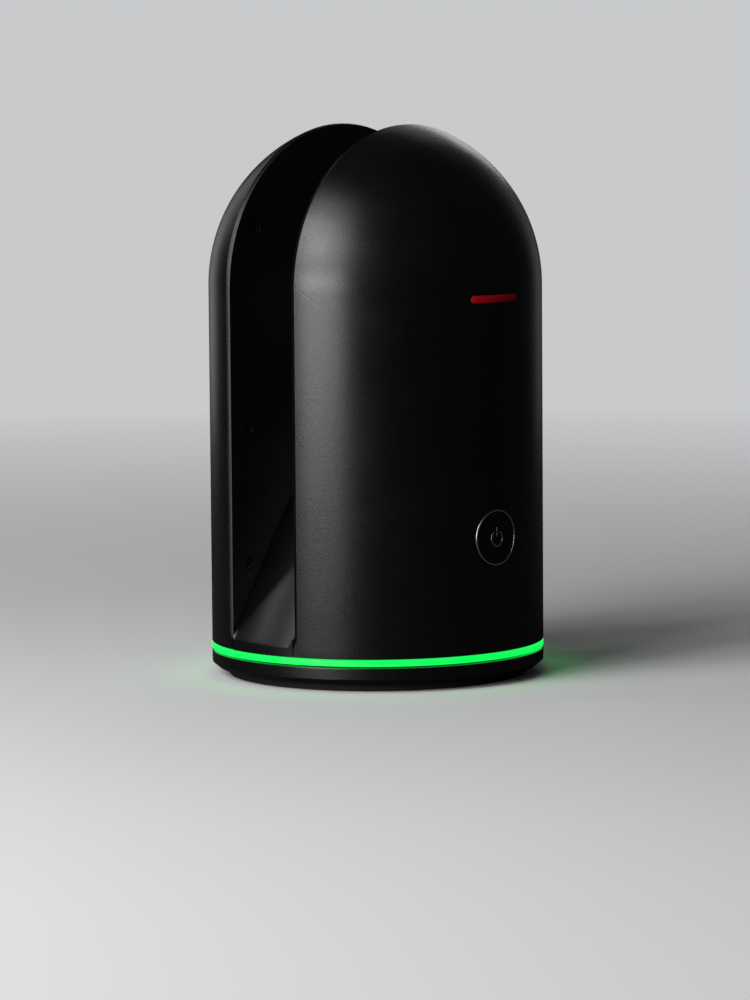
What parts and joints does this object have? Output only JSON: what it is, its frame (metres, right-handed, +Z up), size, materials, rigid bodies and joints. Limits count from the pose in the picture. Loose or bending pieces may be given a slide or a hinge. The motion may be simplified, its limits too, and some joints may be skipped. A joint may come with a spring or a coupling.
{
  "type": "terrestrial laser scanner",
  "caption": "Compact terrestrial laser scanner: dome-topped cylinder split by a slot with a spinning mirror, on a rotating base with a light ring.",
  "frame": {"origin": "centre of the underside of the foot pad, on the azimuth axis", "axes": "+Z up along the azimuth axis; the slot's openings face -Y (front) and +Y (rear); the power button's lobe is +X, the battery door's lobe -X"},
  "size_m": [0.1, 0.1, 0.1648],
  "materials": {
    "shell_black": "fine-grained satin black anodised or powder-coated metal",
    "panel_black": "fine matte black",
    "gloss_black": "polished black",
    "foot_rubber": "matte black rubber",
    "light_green": "opal light guide, lit green",
    "cast_alloy": "bead-blasted cast aluminium",
    "steel": "ground steel",
    "brass": "machined brass",
    "copper_rotor": "lacquered copper windings",
    "circuit_board": "green solder mask",
    "grey_plastic": "moulded grey plastic",
    "mirror_silver": "coated front-surface mirror",
    "optical_glass": "coated optical glass",
    "flash_diffuser": "ribbed clear diffuser",
    "button_silver": "satin silver"
  },
  "bodies": {
    "base": {"base_housing": "shell_black", "foot_pad": "foot_rubber", "tripod_socket": "steel", "azimuth_bearing_inner": "steel", "azimuth_gear": "brass"},
    "head": {"head_chassis": "cast_alloy", "azimuth_bearing_outer": "steel", "azimuth_motor": "grey_plastic", "light_ring": "light_green", "led_board": "circuit_board", "shell_right": "shell_black", "shell_left": "shell_black", "slot_panel_right": "panel_black", "slot_panel_left": "panel_black", "slot_floor": "panel_black", "panel_screw_right_front_low": "steel", "panel_screw_right_front_mid": "steel", "panel_screw_right_front_top": "steel", "panel_screw_right_rear_low": "steel", "panel_screw_right_rear_mid": "steel", "panel_screw_right_rear_top": "steel", "panel_screw_left_front_low": "steel", "panel_screw_left_front_mid": "steel", "panel_screw_left_front_top": "steel", "panel_screw_left_rear_low": "steel", "panel_screw_left_rear_mid": "steel", "panel_screw_left_rear_top": "steel", "mirror_motor": "grey_plastic", "mirror_bearing": "steel", "encoder_reader": "circuit_board", "receiver_tube": "panel_black", "receiver_lens": "optical_glass", "laser_module": "cast_alloy", "main_board": "circuit_board", "wlan_antenna": "circuit_board", "battery_sleeve": "grey_plastic", "battery_contacts": "brass", "power_button_ring": "button_silver", "button_switch": "grey_plastic", "button_board": "circuit_board", "camera_window": "gloss_black", "camera_lens_upper": "optical_glass", "camera_lens_middle": "optical_glass", "camera_lens_lower": "optical_glass", "camera_upper": "grey_plastic", "camera_middle": "grey_plastic", "camera_lower": "grey_plastic", "thermal_camera": "cast_alloy", "flash_led": "flash_diffuser"},
    "mirror": {"mirror_drum": "cast_alloy", "mirror_glass": "mirror_silver", "mirror_shaft": "steel", "encoder_disc": "optical_glass", "mirror_rotor": "copper_rotor"},
    "pinion": {"azimuth_pinion": "steel"},
    "button": {"power_button": "gloss_black", "power_symbol": "button_silver"},
    "battery_drawer": {"battery_door": "gloss_black", "battery_pack": "grey_plastic"}
  },
  "joints": [
    {"name": "azimuth", "type": "hinge", "parent": "base", "child": "head", "pos_m": [0, 0, 0.0107], "axis": [0, 0, 1], "continuous": true},
    {"name": "mirror_spin", "type": "hinge", "parent": "head", "child": "mirror", "pos_m": [0, 0, 0.1085], "axis": [1, 0, 0], "continuous": true},
    {"name": "pinion_spin", "type": "hinge", "parent": "head", "child": "pinion", "pos_m": [0, 0.0252, 0.0157], "axis": [0, 0, 1], "continuous": true},
    {"name": "button_press", "type": "slide", "parent": "head", "child": "button", "axis": [-1, 0, 0], "range_m": [0, 0.0006], "stiffness_N_per_m": 800, "springref_m": -0.0008},
    {"name": "battery_slide", "type": "slide", "parent": "head", "child": "battery_drawer", "axis": [-1, 0, 0], "range_m": [0, 0.075]}
  ],
  "couplings": [
    {"joint": "pinion_spin", "follows": "azimuth", "ratio": 4}
  ]
}
